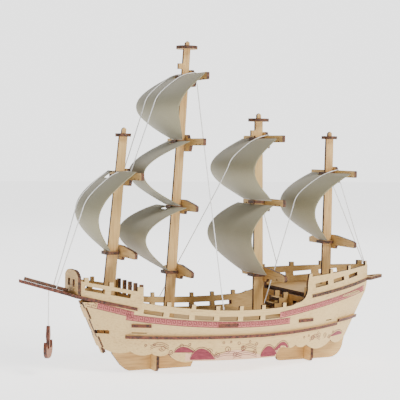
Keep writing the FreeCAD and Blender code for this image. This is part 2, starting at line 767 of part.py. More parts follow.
def make_keel():
    """The upright middle plate, with a foot at each end that the ship stands on."""
    top = FOOT_Z - dim.ply - 0.1
    bow_foot = [(-101.4, 16.3), (-93.4, 5.6), (-88, 1.2), (-85, 0), (-22.5, 0), (-19.5, 6),
                (-19.5, 14)]
    stern_foot = [(70, 14), (69.6, 4, (70.6, 1.2)), (73.5, 0), (129, 0, (139.5, 4.2)),
                  (144.5, 14), (146, 20)]
    outline = bow_foot + stern_foot + [(132.7, 20), (stern_x(40) - 9.5, top)]
    outline += [(stem_x(40) + 9.5, top), (stem_x(19) + 9.5, 19)]
    blank = plate("keel_blank", "XZ_Plane", outline)
    laps = [block(f"keel_lap_{index}", PLY + 2 * GAP, 10, 12, (x, 0, 6))
            for index, x in enumerate(FOOT_X)]
    finish(cut("keel_plate", blank, laps), "keel_plate")


FOOT_X = [-62.0, 101.5]


def make_cross_feet():
    """Cross feet that are halved over the keel, so that the ship can't fall sideways."""
    for name, x in zip(("cross_foot_fore", "cross_foot_aft"), FOOT_X):
        half = dim.foot_half_width
        outline = [(-half + 3, 0), (half - 3, 0), (half, 3), (half, dim.foot_height),
                   (-half, dim.foot_height), (-half, 3)]
        blank = plate(f"{name}_blank", "YZ_Plane", outline, at=(x, 0, 0))
        lap = block(f"{name}_lap", 10, PLY + 2 * GAP, 10, (x, 0, 16.9))
        finish(cut(name, blank, [lap]), name)


def transom(name, x_at, z_low, z_high, lean, tabs, fit):
    """A sloping end plate between the hull sides, fused with its tabs if it has any."""
    z_mid = (z_low + z_high) / 2
    half = (z_high - z_low) / 2 / math.cos(math.radians(lean))
    low_width = abs(side_at(z_low).y(x_at(z_low))) - fit
    high_width = abs(side_at(z_high).y(x_at(z_high))) - fit
    outline = [(-low_width, -half), (low_width, -half), (high_width, half), (-high_width, half)]
    board = plate(f"{name}_board", "YZ_Plane", outline, at=(x_at(z_mid), 0, z_mid), turn=lean)
    finish(fuse(name, [board] + tabs) if tabs else board, name)


def make_transoms():
    transom("bow_transom", lambda z: stem_x(z) + STEM_IN, 18.5, 64, -STEM_ANGLE,
            stem_tabs("stem_tab", 0.0), PLY + 1.5)
    transom("stern_transom", lambda z: stern_x(z) - STERN_IN, 24, 66, STERN_ANGLE, [], PLY + 3.8)


def make_bulkheads():
    """Upright plates across the ship: bow front with windows, forecastle and poop ends."""
    bow_x = BOW_X - PLY / 2 - 0.2
    floor = forecastle_z(bow_x - PLY / 2) + PLY / 2 + 0.35
    half = 18
    gable = [(-half, floor), (half, floor), (half, 90, (12.5, 93.8)), (5, 95.2),
             (-5, 95.2, (-12.5, 93.8)), (-half, 90)]
    openings = [[(y - 2.6, 80.5), (y + 2.6, 80.5), (y + 2.6, 87), (y - 2.6, 87)]
                for y in (-6.5, 6.5)]
    finish(plate("bow_bulkhead", "YZ_Plane", gable, openings, at=(bow_x, 0, 0)), "bow_bulkhead")

    break_x = BREAK_X + 3.4
    width = abs(side_at(60).y(break_x)) - PLY - 1.2
    foot = abs(side_at(48).y(break_x)) - PLY - 1.2
    wall = [(-width, 62), (-foot, FOOT_Z), (foot, FOOT_Z), (width, 62), (width, 69)]
    for y in (28, 13.5, 0, -13.5, -28):
        wall += [(y + 1.8, 69), (y + 1.8, 82.5), (y - 1.8, 82.5), (y - 1.8, 69)]
    wall.append((-width, 69))
    doors = [[(y - 3.5, FOOT_Z + 4), (y + 3.5, FOOT_Z + 4), (y + 3.5, 58), (y - 3.5, 58)]
             for y in (-16, 16)]
    finish(plate("forecastle_bulkhead", "YZ_Plane", wall, doors, at=(break_x, 0, 0)),
           "forecastle_bulkhead")

    poop_x = POOP_X - 2.6
    width = abs(RAIL_ARC.y(poop_x)) - PLY - 1.1
    foot = abs(side_at(48).y(poop_x)) - PLY - 1.1
    top = poop_z(poop_x) + 8
    wall = [(-foot, FOOT_Z), (foot, FOOT_Z), (width, 64), (width, top), (width - 5, top),
            (width - 5, 66.5), (9, 66.5), (9, 64), (-9, 64), (-9, 66.5), (5 - width, 66.5),
            (5 - width, top), (-width, top), (-width, 64)]
    doors = [[(y - 5, FOOT_Z + 5), (y + 5, FOOT_Z + 5), (y + 5, 61), (y - 5, 61)]
             for y in (-24, 24)]
    finish(plate("poop_bulkhead", "YZ_Plane", wall, doors, at=(poop_x, 0, 0)), "poop_bulkhead")


def make_wales():
    """Thin rubbing strips that follow the outside of the hull."""
    edge = {"inner": -0.12, "outer": dim.wale_depth.value}
    shell = ruled_shell("wale_shell", section("wale_low", side_at(28), -100, 157, 28, **edge),
                        section("wale_high", side_at(48), -100, 157, 48, **edge))
    outlines = {
        "wale": [(-97, 33.5), (30, 33.4, (80, 34.9)), (121, 36.6), (121, 39.6, (80, 37.9)),
                 (30, 36.4), (-97, 36.5)],
        "quarter_wale": [(122.5, 39.2), (156, 40), (156, 43), (122.5, 42.2)],
    }
    for name, outline in outlines.items():
        side_view = plate(f"{name}_view", "XZ_Plane", outline, thickness=130)
        finish(overlap(f"{name}_port", shell, side_view), f"{name}_port")
        mirrored(f"{name}_starboard", sub_parts[-1])


def make_stair():
    """The stair from the main deck up to the poop: two stepped stringers and three treads."""
    foot, head = 57.0, POOP_X - 4.6
    run = (head - foot) / 4
    base = FOOT_Z.value
    rise = (poop_z(head) - base) / 4
    stringer = [(foot, FOOT_Z)]
    for index in range(4):
        stringer.append((foot + index * run, base + (index + 1) * rise))
        stringer.append((foot + (index + 1) * run, base + (index + 1) * rise))
    stringer.append((head, base + 2.2 * rise))
    stringer.append((foot + 1.6 * run, FOOT_Z))
    for name, y in (("stair_stringer_port", -8.5), ("stair_stringer_starboard", 8.5)):
        finish(plate(name, "XZ_Plane", stringer, at=(0, y, 0)), name)
    treads = [block(f"tread_{index}", run + 1.5, 14 - 0.4, PLY,
                    (foot + (index + 0.5) * run, 0, base + (index + 1) * rise - PLY / 2))
              for index in range(3)]
    finish(fuse("stair_treads", treads), "stair_treads")


def make_bowsprit_brace():
    """A narrow strip that lies on the bowsprit."""
    outline = [(-21, -2.2), (20, -3.4), (20, 3.4), (-21, 2.2)]
    x = -165.5
    slope = math.degrees(math.atan(0.296))
    lift = PLY + 0.06
    finish(plate("bowsprit_brace", "XY_Plane", outline,
                 at=(x + lift * math.sin(math.radians(slope)), 0,
                     forecastle_z(x) + lift * 0.98 / math.cos(math.radians(slope))), turn=slope),
           "bowsprit_brace")


# ---------------------------------------------------------------- strings and anchor


def string(name, points):
    """A taut string: straight runs joined by arcs that are as large as the runs allow."""
    radius = dim.string_diameter.value / 2
    points = [Vector(*point) for point in points]
    edges = []
    start = points[0]
    for before, corner, after in zip(points, points[1:], points[2:]):
        incoming = (corner - before).normalize()
        outgoing = (after - corner).normalize()
        turn = incoming.getAngle(outgoing)
        setback = 0.45 * min((corner - before).Length, (after - corner).Length)
        bend = setback / math.tan(turn / 2)
        arc_start = corner - incoming * setback
        arc_end = corner + outgoing * setback
        to_middle = (outgoing - incoming).normalize()
        middle = corner + to_middle * (bend / math.cos(turn / 2) - bend)
        edges.append(Part.LineSegment(start, arc_start).toShape())
        edges.append(Part.ArcOfCircle(arc_start, middle, arc_end).toShape())
        start = arc_end
    edges.append(Part.LineSegment(start, points[-1]).toShape())
    path = Part.Wire(edges)
    direction = points[1] - points[0]
    profile = Part.Wire(Part.makeCircle(radius, points[0], direction))
    tube = path.makePipeShell([profile], True, False)
    wanted = math.pi * radius ** 2 * path.Length
    if abs(tube.Volume - wanted) > 0.02 * wanted:
        raise ValueError(f"{name}: the tube's volume is {tube.Volume:.1f}, not {wanted:.1f}")
    feature(name, tube)


def over_sail(sail, y, share, clear=2.6):
    """A point in front of a sail, for a string that lies over its belly."""
    point = sail.point(2 * y / sail.width(share), share)
    return (point.x - clear, y, point.z)


def led_over(sail, start_y, end_y, end):
    """A string's route: from the yard over the head and the belly of a sail to its far end."""
    yard = sail.upper
    head = sail.point(2 * start_y / sail.width(0), 0)
    route = [(yard.x, start_y, yard.z + 3.8), (head.x - 1.8, start_y, sail.head_z + 1.5)]
    for share in (0.2, 0.36, 0.54):
        route.append(over_sail(sail, start_y + (end_y - start_y) * share, share))
    return route + [end]


def make_strings():
    main_top, fore_upper = YARD["main_top_yard"], YARD["fore_upper_yard"]
    main_upper, after_top = YARD["main_upper_yard"], YARD["after_upper_yard"]
    mizzen_middle = YARD["mizzen_middle_yard"]
    behind = PLY / 2 + 0.6
    for side, sign in (("port", -1), ("starboard", 1)):
        yard_end = (fore_upper.x + 0.8, 9 * sign, fore_upper.z + 3.9)
        bowsprit_end = (-157, 4.4 * sign, forecastle_z(-157) + 2.2)
        string(f"fore_stay_{side}",
               led_over(SAIL["main_top_sail"], 13 * sign, 10 * sign, yard_end))
        string(f"bow_stay_{side}", led_over(SAIL["fore_sail"], 12 * sign, 7 * sign, bowsprit_end))
        string(f"after_backstay_{side}",
               [(after_top.x + behind, 8.5 * sign, after_top.z - 6),
                (169.2, 1.0 * sign, poop_rail_z(169.2) + 0.6)])
    string("main_shroud",
           [(main_top.x + behind, -11, main_top.z - 6), (main_upper.x + behind, -33, main_upper.z + 1),
            (-14.2, -53.6, waist_rail_z(-14.2) + 0.6)])
    string("mizzen_stay",
           led_over(SAIL["mizzen_upper_sail"], -8.6, -5, (-33, 50.5, waist_rail_z(-33) + 0.6)))
    string("after_stay", led_over(SAIL["after_sail"], -8.6, -6, (54.4, -2.2, 57)))
    string("mizzen_brace",
           [(mizzen_middle.x + behind, 6.5, mizzen_middle.z - 6), (65.6, -5.8, 96)])


EYE_X = -162.5
EYE_Z = 45.0


def make_anchor():
    """The anchor hangs on a short string from the bowsprit."""
    top = forecastle_z(EYE_X) - PLY / 2 - 0.35
    string("anchor_line", [(EYE_X, 0, top), (EYE_X, 0, EYE_Z + 0.3)])
    shank = [(-1.6, 0), (-2.6, -6, (-2.9, -9)), (-1.4, -13), (-1.6, -19.5), (-6, -20, (-8.6, -17)),
             (-9.5, -13.5), (-11, -18, (-8.5, -26)), (0, -28.5, (8.5, -26)), (11, -18),
             (9.5, -13.5, (8.6, -17)), (6, -20), (1.6, -19.5), (1.4, -13, (2.9, -9)), (2.6, -6),
             (1.6, 0)]
    body = plate("anchor", "XZ_Plane", shank, at=(EYE_X, 0, EYE_Z), turn=58, axis=Vector(0, 0, 1))
    finish(body, "anchor")


# ---------------------------------------------------------------- build, check and write

make_hull_sides()
make_main_deck()
make_forecastle_deck()
make_poop_deck()
make_keel()
make_cross_feet()
make_transoms()
make_bulkheads()
make_wales()
make_stair()
make_bowsprit_brace()
make_masts()
make_yards()
make_sails()
make_strings()
make_anchor()
doc.recompute()

failed = [item.Label for item in doc.Objects if "Invalid" in item.State or "Error" in item.State]
if failed:
    raise ValueError(f"these could not be worked out: {failed}")
os.makedirs("parts", exist_ok=True)
for piece in sub_parts:
    shape = piece.Shape
    if shape.isNull() or not shape.isValid() or not shape.Solids:
        raise ValueError(f"{piece.Label} has no valid solid")
    shape.exportStep(f"parts/{piece.Label}.step")
    print(f"{piece.Label}: {len(shape.Solids)} solid(s), {shape.Volume:.0f} mm3")
print(f"{len(sub_parts)} sub-parts")
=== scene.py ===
"""Looks for the wooden sailing ship kit: plywood, printed hull sides, sails, strings and stage."""
import math

import bpy
from mathutils import Matrix, Vector
from mathutils.bvhtree import BVHTree


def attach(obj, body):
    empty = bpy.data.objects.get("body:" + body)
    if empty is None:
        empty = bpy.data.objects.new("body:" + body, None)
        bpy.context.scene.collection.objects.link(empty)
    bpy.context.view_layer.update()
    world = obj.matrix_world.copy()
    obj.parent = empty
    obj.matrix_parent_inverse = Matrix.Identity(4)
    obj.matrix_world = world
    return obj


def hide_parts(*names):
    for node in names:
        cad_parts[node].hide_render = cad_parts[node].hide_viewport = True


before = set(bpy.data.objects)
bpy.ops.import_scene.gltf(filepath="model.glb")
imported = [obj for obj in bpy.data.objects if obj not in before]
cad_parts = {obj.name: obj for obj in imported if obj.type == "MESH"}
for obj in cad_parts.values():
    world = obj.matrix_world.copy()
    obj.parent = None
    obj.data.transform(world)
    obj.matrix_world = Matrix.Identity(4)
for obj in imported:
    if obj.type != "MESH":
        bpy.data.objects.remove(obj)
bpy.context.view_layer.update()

MM = 0.001                       # lengths below are in millimetres unless a comment says otherwise
PLY = 3.0
BODY = "ship"


def metres(point):
    """A point in millimetres as a vector in metres."""
    return Vector(point) * MM


def add_object(name, data):
    """A new object in the scene that shows a mesh, a curve, a light or the camera."""
    thing = bpy.data.objects.new(name, data)
    bpy.context.scene.collection.objects.link(thing)
    return thing


# ---------------------------------------------------------------- camera

CAMERA_AT = (-0.4923, -1.0241, 0.2044)           # metres
CAMERA_HEADING = 25              # degrees that the camera stands ahead of the beam
CAMERA_PITCH = -2.386
CAMERA_ROLL = 0.9
LENS, SENSOR = 108, 36
NEAREST, FURTHEST = 0.01, 50     # metres


def make_camera():
    """A long lens at the port side, ahead of the beam and a little above the deck."""
    heading, pitch, roll = map(math.radians, (CAMERA_HEADING, CAMERA_PITCH, CAMERA_ROLL))
    up = Vector((0, 0, 1))
    level = Vector((math.sin(heading), math.cos(heading), 0))
    across = Vector((math.cos(heading), -math.sin(heading), 0))
    forward = level * math.cos(pitch) + up * math.sin(pitch)
    upright = up * math.cos(pitch) - level * math.sin(pitch)
    right = across * math.cos(roll) + upright * math.sin(roll)
    top = upright * math.cos(roll) - across * math.sin(roll)
    place = Vector(CAMERA_AT)
    data = bpy.data.cameras.new("camera")
    data.lens, data.sensor_width = LENS, SENSOR
    data.clip_start, data.clip_end = NEAREST, FURTHEST
    camera = add_object("camera", data)
    camera.matrix_world = Matrix(((right.x, top.x, -forward.x, place.x),
                                  (right.y, top.y, -forward.y, place.y),
                                  (right.z, top.z, -forward.z, place.z),
                                  (0, 0, 0, 1)))
    bpy.context.scene.camera = camera


make_camera()

# ---------------------------------------------------------------- node materials

BUMP_DEPTH = 0.0002              # metres


class Nodes:
    """A material's node tree, with short ways to add and join nodes."""

    def __init__(self, name, roughness):
        self.material = bpy.data.materials.new(name)
        self.material.use_nodes = True
        self.tree = self.material.node_tree
        self.shader = self.tree.nodes["Principled BSDF"]
        self.shader.inputs["Roughness"].default_value = roughness
        self.place = self.add("ShaderNodeTexCoord")

    def add(self, kind, **values):
        node = self.tree.nodes.new(kind)
        for key, value in values.items():
            setattr(node, key, value)
        return node

    def join(self, source, target):
        self.tree.links.new(source, target)

    def noise(self, scale, stretch=(1, 1, 1), detail=3.0):
        """Noise in the object's own space. Scale is in features per metre."""
        mapping = self.add("ShaderNodeMapping")
        mapping.inputs["Scale"].default_value = stretch
        self.join(self.place.outputs["Object"], mapping.inputs["Vector"])
        noise = self.add("ShaderNodeTexNoise")
        noise.inputs["Scale"].default_value = scale
        noise.inputs["Detail"].default_value = detail
        self.join(mapping.outputs["Vector"], noise.inputs["Vector"])
        return noise.outputs["Fac"]

    def ramp(self, factor, stops):
        """A colour ramp whose stops are pairs of place and colour."""
        node = self.add("ShaderNodeValToRGB")
        elements = node.color_ramp.elements
        while len(elements) < len(stops):
            elements.new(0.5)
        for element, (place, colour) in zip(elements, stops):
            element.position = place
            element.color = (*colour, 1)
        self.join(factor, node.inputs["Fac"])
        return node.outputs["Color"]

    def mix(self, factor, one, two):
        node = self.add("ShaderNodeMix", data_type="RGBA")
        self.join(factor, node.inputs["Factor"])
        self.join(one, node.inputs["A"])
        self.join(two, node.inputs["B"])
        return node.outputs["Result"]

    def math(self, operation, one, two):
        node = self.add("ShaderNodeMath", operation=operation)
        self.join(one, node.inputs[0])
        if isinstance(two, (int, float)):
            node.inputs[1].default_value = two
        else:
            self.join(two, node.inputs[1])
        return node.outputs[0]

    def bump(self, height, strength, distance=BUMP_DEPTH):
        node = self.add("ShaderNodeBump")
        node.inputs["Strength"].default_value = strength
        node.inputs["Distance"].default_value = distance
        self.join(height, node.inputs["Height"])
        self.join(node.outputs["Normal"], self.shader.inputs["Normal"])

    def colour(self, source):
        self.join(source, self.shader.inputs["Base Color"])
        return self.material


FIBRE_SCALE, CLOUD_SCALE, CHAR_SCALE = 900, 38, 420
EDGE_FACING = 0.6                # below this cosine from the plate's axis, a surface is a cut edge
PALE, MIDDLE, VEIN = (0.66, 0.44, 0.17), (0.52, 0.31, 0.11), (0.31, 0.16, 0.055)
CHAR, SCORCH = (0.014, 0.006, 0.003), (0.15, 0.055, 0.02)
GRAIN = {"x": (0.07, 1, 1), "y": (1, 0.07, 1), "z": (1, 1, 0.07)}


def plywood(name, normal, grain, burn=(CHAR, SCORCH), tint=(PALE, MIDDLE, VEIN)):
    """Plywood whose faces are pale and whose cut edges are burnt: normal is the faces' axis."""
    nodes = Nodes(name, 0.62)
    pale, middle, vein = tint
    fibres = nodes.noise(FIBRE_SCALE, GRAIN[grain], detail=4)
    clouds = nodes.noise(CLOUD_SCALE, GRAIN[grain], detail=2)
    face = nodes.ramp(fibres, [(0.30, vein), (0.44, middle), (0.62, pale)])
    shade = nodes.ramp(clouds, [(0.35, middle), (0.65, pale)])
    face = nodes.mix(clouds, face, shade)
    dot = nodes.add("ShaderNodeVectorMath", operation="DOT_PRODUCT")
    nodes.join(nodes.place.outputs["Normal"], dot.inputs[0])
    dot.inputs[1].default_value = normal
    facing = nodes.math("ABSOLUTE", dot.outputs["Value"], 0.0)
    on_edge = nodes.math("LESS_THAN", facing, EDGE_FACING)
    edge = nodes.ramp(nodes.noise(CHAR_SCALE), [(0.34, burn[0]), (0.68, burn[1])])
    nodes.bump(fibres, strength=0.25)
    return nodes.colour(nodes.mix(on_edge, face, edge))


SIDE_WOOD = ((0.70, 0.50, 0.225), (0.60, 0.41, 0.17), (0.43, 0.26, 0.10))
ANCHOR_WOOD = ((0.30, 0.13, 0.07), (0.24, 0.10, 0.05), (0.14, 0.05, 0.03))
ANCHOR_TURN = 58                 # degrees between the anchor's plane and the ship's length
RED_BURN = ((0.03, 0.008, 0.004), (0.17, 0.042, 0.018))
AXES = {"x": (1, 0, 0), "y": (0, 1, 0), "z": (0, 0, 1)}
KINDS = {                        # the axis square to the faces, and the way of the grain
    "deck": ("z", "x"),
    "long": ("y", "x"),
    "mast": ("y", "z"),
    "yard": ("x", "y"),
}


def kind_of(node):
    """Which way a piece's faces and grain run."""
    if node.endswith("mast"):
        return "mast"
    if node.endswith(("yard", "bulkhead", "transom")) or node.startswith("cross_foot"):
        return "yard"
    if node.startswith(("hull_side", "keel", "stair_stringer")):
        return "long"
    return "deck"


def give(node, material):
    """Assign a material to every slot of a CAD node's object."""
    piece = bpy.data.objects[node]
    if not piece.material_slots:
        piece.data.materials.append(material)
    for place in piece.material_slots:
        place.material = material


def dress_wood():
    made = {kind: plywood(f"plywood_{kind}", AXES[normal], grain)
            for kind, (normal, grain) in KINDS.items()}
    red_deck = plywood("plywood_red_edge", AXES["z"], "x", RED_BURN)
    printed = plywood("plywood_side", AXES["y"], "x", tint=SIDE_WOOD)
    turn = math.radians(ANCHOR_TURN)
    anchor = plywood("plywood_anchor", (-math.sin(turn), math.cos(turn), 0), "z", RED_BURN,
                     ANCHOR_WOOD)
    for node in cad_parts:
        if node in STRINGS or node in SAILS:
            continue
        if node.startswith("hull_side"):
            give(node, printed)
        elif node.startswith(("wale", "quarter_wale")) or node in ("main_deck", "forecastle_deck"):
            give(node, red_deck)
        elif node == "anchor":
            give(node, anchor)
        else:
            give(node, made[kind_of(node)])


# ---------------------------------------------------------------- strings

STRING = 0.9                     # diameter
TOP_YARD = (-26.8, 13.0, 275.7)
STRINGS = {
    "fore_stay": [TOP_YARD, (-38.1, 13.0, 275.5), (-56.5, 12.4, 261.9), (-66.1, 11.9, 252.3),
                  (-69.3, 11.4, 241.4), (-88.8, 9.0, 183.6)],
    "bow_stay": [(-89.6, 12.0, 183.5), (-102.6, 12.0, 185.5), (-122.0, 11.0, 169.5),
                 (-132.4, 10.2, 157.9), (-136.2, 9.3, 144.9), (-157.0, 4.4, 78.9)],
    "after_backstay": [(133.0, 8.5, 177.2), (169.2, 1.0, 92.5)],
    "main_shroud": [(-24.7, -11.0, 265.9), (-27.8, -33.0, 212.7), (-14.2, -53.6, 60.1)],
    "mizzen_stay": [(52.0, -8.6, 219.8), (39.4, -8.6, 217.5), (21.5, -7.9, 204.3),
                    (12.3, -7.3, 194.9), (9.8, -6.7, 184.4), (-33.0, 50.5, 61.2)],
    "after_stay": [(130.9, -8.6, 187.0), (118.2, -8.6, 185.1), (94.4, -8.1, 170.4),
                   (83.4, -7.7, 159.8), (81.2, -7.2, 147.9), (54.4, -2.2, 57.0)],
    "mizzen_brace": [(55.4, 6.5, 149.5), (65.6, -5.8, 96.0)],
    "anchor_line": [(-162.5, 0.0, 76.5), (-162.5, 0.0, 45.3)],
}
for paired in ("fore_stay", "bow_stay", "after_backstay"):
    route = STRINGS.pop(paired)
    STRINGS[f"{paired}_starboard"] = route
    STRINGS[f"{paired}_port"] = [(x, -y, z) for x, y, z in route]


def string_material():
    """White cotton, laid in a tight twist."""
    nodes = Nodes("cotton_string", 0.85)
    fibres = nodes.noise(scale=2600, stretch=(1, 1, 0.5), detail=2)
    nodes.bump(fibres, strength=0.6)
    nodes.shader.inputs["Sheen Weight"].default_value = 0.3
    shade = nodes.ramp(fibres, [(0.3, (0.62, 0.62, 0.62)), (0.65, (0.88, 0.88, 0.87))])
    return nodes.colour(shade)


def as_mesh(drawn):
    """A new mesh with a curve's shape as it is drawn now."""
    bpy.context.view_layer.update()
    graph = bpy.context.evaluated_depsgraph_get()
    return bpy.data.meshes.new_from_object(drawn.evaluated_get(graph))


def centreline(drawn):
    """Points along a curve with its bevel off."""
    bevel = drawn.data.bevel_depth
    drawn.data.bevel_depth = 0
    line = as_mesh(drawn)
    drawn.data.bevel_depth = bevel
    points = [vertex.co.copy() for vertex in line.vertices]
    bpy.data.meshes.remove(line)
    return points


def draw_route(name, points):
    """The smooth curve of a string, with the route's points as its control points."""
    curve = bpy.data.curves.new(f"{name}_cord", "CURVE")
    curve.dimensions = "3D"
    curve.bevel_depth = STRING / 2 * MM
    curve.bevel_resolution = 3
    curve.use_fill_caps = True
    spline = curve.splines.new("NURBS")
    spline.points.add(len(points) - 1)
    for place, point in zip(spline.points, points):
        place.co = (*metres(point), 1)
    spline.order_u = 3 if len(points) > 2 else 2
    spline.use_endpoint_u = True
    spline.resolution_u = 12
    return add_object(f"{name}_route", curve)


def make_string(name, points, material):
    """A round string of one mesh, which stands for the CAD model's."""
    drawn = draw_route(name, points)
    path = centreline(drawn)
    tube = as_mesh(drawn)
    bpy.data.objects.remove(drawn)
    tube.materials.clear()
    tube.materials.append(material)
    tube.polygons.foreach_set("use_smooth", [True] * len(tube.polygons))
    piece = add_object(f"{name}_cord", tube)
    hanging = name == "anchor_line"
    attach(piece, "line" if hanging else BODY)
    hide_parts(name)


def make_strings():
    material = string_material()
    for name, points in STRINGS.items():
        make_string(name, points, material)


# ---------------------------------------------------------------- sails

DECK_Z = 47.1                    # where the masts stand
MASTS = {                        # foot x, lean, widths at the foot and head, height of the head
    "fore": (-107.7, 0.0856, 11.6, 7.6, 224),
    "main": (-45.9, 0.0600, 10.4, 6.2, 305.5),
    "mizzen": (48.6, -0.014, 10.4, 7.6, 240.5),
    "after": (123.9, 0.0085, 10.4, 7.6, 224.5),
}
# mast, height of the upper yard, head and foot, three widths, belly, sweep, twist, peak
SAILS = {
    "fore_sail": ("fore", 179.7, 184, 111.6, (70, 66, 14), 29, 7.4, 0.0, 1.0),
    "main_top_sail": ("main", 271.9, 274, 213.7, (78, 102, 22), 28, 6.6, 0.0, 1.0),
    "main_upper_sail": ("main", 211.7, 212.2, 153.0, (52, 66, 36), 40, 3.0, 5.8, 1.0),
    "main_lower_sail": ("main", 151.0, 151.6, 92.5, (70, 66, 12), 37, 0.5, 0.0, 0.85),
    "mizzen_upper_sail": ("mizzen", 216.0, 216, 157.5, (71, 94, 58), 29, 5.6, 0.0, 1.0),
    "mizzen_lower_sail": ("mizzen", 155.5, 153.2, 87.0, (73, 94, 52), 28, 2.2, 0.0, 0.88),
    "after_sail": ("after", 183.2, 183.6, 117.5, (74, 70, 16), 36, 7.8, 0.0, 0.95),
}
NOTCH = 6.4                      # half the width of the notch that the mast's collar goes through
COLLAR_PLAY = 0.4                # between the collar's underside and the notch's edge
CLOTH_THICKNESS = 0.6
CLOTH_GAP = 1.0                  # between the mast's front and the cloth
ROWS, SIDE_COLUMNS = 36, 14


class Sail:
    """The same bellied sheet as the CAD model's. Only point gives metres."""

    def __init__(self, name):
        (mast, self.yard_z, self.head, self.foot, self.widths, self.belly, self.sweep, self.twist,
         self.peak) = SAILS[name]
        self.mast = MASTS[mast]

    def front_of_mast(self, z):
        foot_x, lean, foot_width, head_width, head_z = self.mast
        share = (z - DECK_Z) / (head_z - DECK_Z)
        return foot_x + lean * (z - DECK_Z) - (foot_width + (head_width - foot_width) * share) / 2

    def width(self, share):
        """How wide the cloth is at a share of the way from head to foot."""
        head, middle, foot = self.widths
        bulge = (middle - (head + foot) / 2) * 4 * share * (1 - share)
        return head + (foot - head) * share + bulge

    def point(self, across, share):
        """The cloth's middle surface, where across runs from -1 to 1."""
        z = self.head + (self.foot - self.head) * share
        x = self.front_of_mast(z) - CLOTH_GAP - self.belly * math.sin(math.pi * share ** self.peak)
        x += self.sweep * across ** 2 * min(1.0, self.width(share) / self.widths[0])
        x += self.twist * across * 4 * share * (1 - share)
        return Vector((x, across * self.width(share) / 2, z)) * MM


def sail_material():
    """Stiff grey non-woven cloth, with fine fibres and soft clouds of tone."""
    nodes = Nodes("sail_cloth", 0.68)
    fibres = nodes.noise(scale=1500, detail=5)
    clouds = nodes.noise(scale=22, detail=2)
    fine = nodes.ramp(fibres, [(0.3, (0.19, 0.17, 0.095)), (0.7, (0.29, 0.265, 0.16))])
    soft = nodes.ramp(clouds, [(0.3, (0.20, 0.18, 0.10)), (0.7, (0.30, 0.275, 0.17))])
    nodes.bump(fibres, strength=0.25)
    nodes.shader.inputs["Sheen Weight"].default_value = 0.25
    return nodes.colour(nodes.mix(clouds, fine, soft))


def sail_rows(sail):
    """Shares from head to foot, one of them at the notch's lower edge and none close to it."""
    notch = (sail.head - (sail.yard_z - PLY / 2 - COLLAR_PLAY)) / (sail.head - sail.foot)
    rows = [step / ROWS for step in range(ROWS + 1)]
    if notch <= 0:
        return rows, 0.0
    clear = [share for share in rows if abs(share - notch) > 0.4 / ROWS]
    return sorted(clear + [notch]), notch


def sail_mesh(name, sail, rows, notch):
    """A grid of faces with the notch left out at the middle of the head."""
    gap = 2 * NOTCH / sail.width(0)
    side = [gap + (1 - gap) * step / SIDE_COLUMNS for step in range(SIDE_COLUMNS + 1)]
    columns = [-across for across in reversed(side)] + [-gap / 3, gap / 3] + side
    vertices = [sail.point(across, share) for share in rows for across in columns]
    wide = len(columns)
    faces = []
    for row in range(len(rows) - 1):
        for column in range(wide - 1):
            middle = (columns[column] + columns[column + 1]) / 2
            if rows[row + 1] <= notch + 1e-9 and abs(middle) < gap:
                continue
            first = row * wide + column
            faces.append((first, first + 1, first + wide + 1, first + wide))
    mesh = bpy.data.meshes.new(f"{name}_cloth")
    mesh.from_pydata(vertices, [], faces)
    mesh.polygons.foreach_set("use_smooth", [True] * len(mesh.polygons))
    return mesh


def make_sail(name, material):
    """A thin sheet, which stands for the CAD model's."""
    sail = Sail(name)
    rows, notch = sail_rows(sail)
    mesh = sail_mesh(name, sail, rows, notch)
    mesh.materials.append(material)
    piece = add_object(f"{name}_cloth", mesh)
    thick = piece.modifiers.new("thickness", "SOLIDIFY")
    thick.thickness, thick.offset = CLOTH_THICKNESS * MM, 0
    steps = [((sail.point(0, b) - sail.point(0, a)).length, sail.width((a + b) / 2) * MM)
             for a, b in zip(rows, rows[1:])]
    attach(piece, BODY)
    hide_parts(name)


def make_sails():
    material = sail_material()
    for name in SAILS:
        make_sail(name, material)


# ---------------------------------------------------------------- print on the hull sides


PROUD = 0.00012                  # how far print stands off the wood, in metres
LIFT = 0.00006                   # how far lines and crests stand off the tinted ground, in metres
INK_THICKNESS = 0.05
OUTSIDE = 90                     # rays start this far from the middle plane, clear of the hull
INSIDE = 2                       # a hit nearer the middle plane than this is not on the outside
LEAST_FACING = 0.5               # nor is one whose surface is turned fore, aft, up or down


